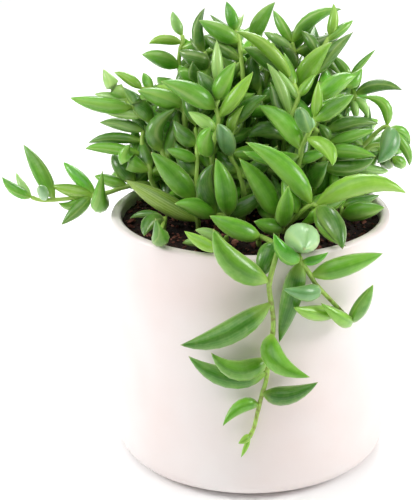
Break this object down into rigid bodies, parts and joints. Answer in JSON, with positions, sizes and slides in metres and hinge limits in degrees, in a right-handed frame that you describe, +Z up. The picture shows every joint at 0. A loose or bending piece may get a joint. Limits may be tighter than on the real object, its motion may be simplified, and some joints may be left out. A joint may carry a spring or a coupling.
{
  "type": "potted string of bananas",
  "caption": "String of bananas succulent: plump, pointed, curved green leaves on thin stems, some trailing, rooted in dark compost in a plain round off-white ceramic pot.",
  "frame": {"origin": "centre of the pot's flat foot, on the surface that the pot stands on", "axes": "+Z up out of the pot, +X to the viewer's right, front of the plant towards -Y"},
  "size_m": [0.1623, 0.1468, 0.1777],
  "materials": {
    "ceramic": "satin",
    "compost": "matte",
    "leaf": "satin"
  },
  "bodies": {
    "root": {"pot": "ceramic", "shoot_back_arching_1": "leaf", "shoot_back_arching_2": "leaf", "shoot_back_arching_3": "leaf", "shoot_back_arching_4": "leaf", "shoot_back_arching_5": "leaf", "shoot_back_arching_6": "leaf", "shoot_back_arching_7": "leaf", "shoot_back_trailing_1": "leaf", "shoot_back_trailing_2": "leaf", "shoot_back_upright_1": "leaf", "shoot_back_upright_2": "leaf", "shoot_back_upright_3": "leaf", "shoot_back_upright_4": "leaf", "shoot_back_upright_5": "leaf", "shoot_centre_left": "leaf", "shoot_centre_low": "leaf", "shoot_centre_top": "leaf", "shoot_front_fork": "leaf", "shoot_front_left": "leaf", "shoot_front_rim": "leaf", "shoot_front_upright": "leaf", "shoot_inner_1": "leaf", "shoot_inner_2": "leaf", "shoot_inner_3": "leaf", "shoot_inner_4": "leaf", "shoot_left_back": "leaf", "shoot_left_high": "leaf", "shoot_left_low": "leaf", "shoot_left_middle": "leaf", "shoot_left_soil": "leaf", "shoot_old_leaf": "leaf", "shoot_reaching_left": "leaf", "shoot_right_arching": "leaf", "shoot_right_far": "leaf", "shoot_right_middle": "leaf", "shoot_right_soil": "leaf", "shoot_right_top": "leaf", "shoot_top_centre": "leaf", "shoot_top_left": "leaf", "shoot_top_middle": "leaf", "shoot_top_right": "leaf", "shoot_top_right_back": "leaf", "shoot_trailing_front": "leaf", "shoot_trailing_right": "leaf", "soil": "compost"}
  },
  "joints": []
}
